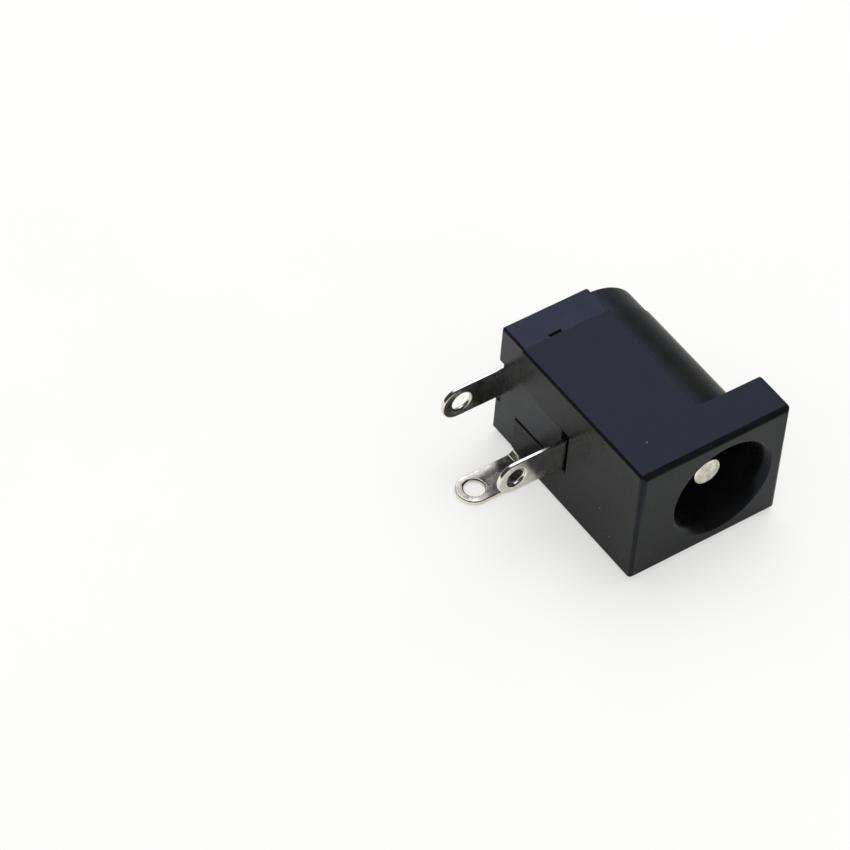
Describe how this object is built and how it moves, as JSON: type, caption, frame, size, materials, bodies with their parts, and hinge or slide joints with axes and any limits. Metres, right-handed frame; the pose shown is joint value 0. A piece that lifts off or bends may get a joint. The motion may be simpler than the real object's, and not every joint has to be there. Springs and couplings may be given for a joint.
{
  "type": "dc barrel jack",
  "caption": "Board-mounted DC power jack: flanged black housing, riveted centre pin, folded sleeve and switch contacts with eyeleted solder lugs.",
  "frame": {"origin": "centre of the mouth, on the plug's axis, in the plane of the front face", "axes": "+X along the plug's axis and out of the mouth, +Y away from the board side (the lugs point to -Y), +Z across the jack, up while it lies on its switch side"},
  "size_m": [0.0144, 0.0159, 0.0092],
  "materials": {
    "housing": "black moulded plastic, satin sheen",
    "rear_cover": "black moulded plastic, satin sheen",
    "centre_pin": "nickel-plated turned brass",
    "pin_terminal": "tin-plated sheet, slightly mottled",
    "sleeve_contact": "tin-plated sheet, slightly mottled",
    "switch_contact": "tin-plated sheet, slightly mottled"
  },
  "bodies": {
    "root": {"housing": "housing", "rear_cover": "rear_cover", "centre_pin": "centre_pin", "pin_terminal": "pin_terminal", "sleeve_contact": "sleeve_contact", "switch_contact": "switch_contact"}
  },
  "joints": []
}
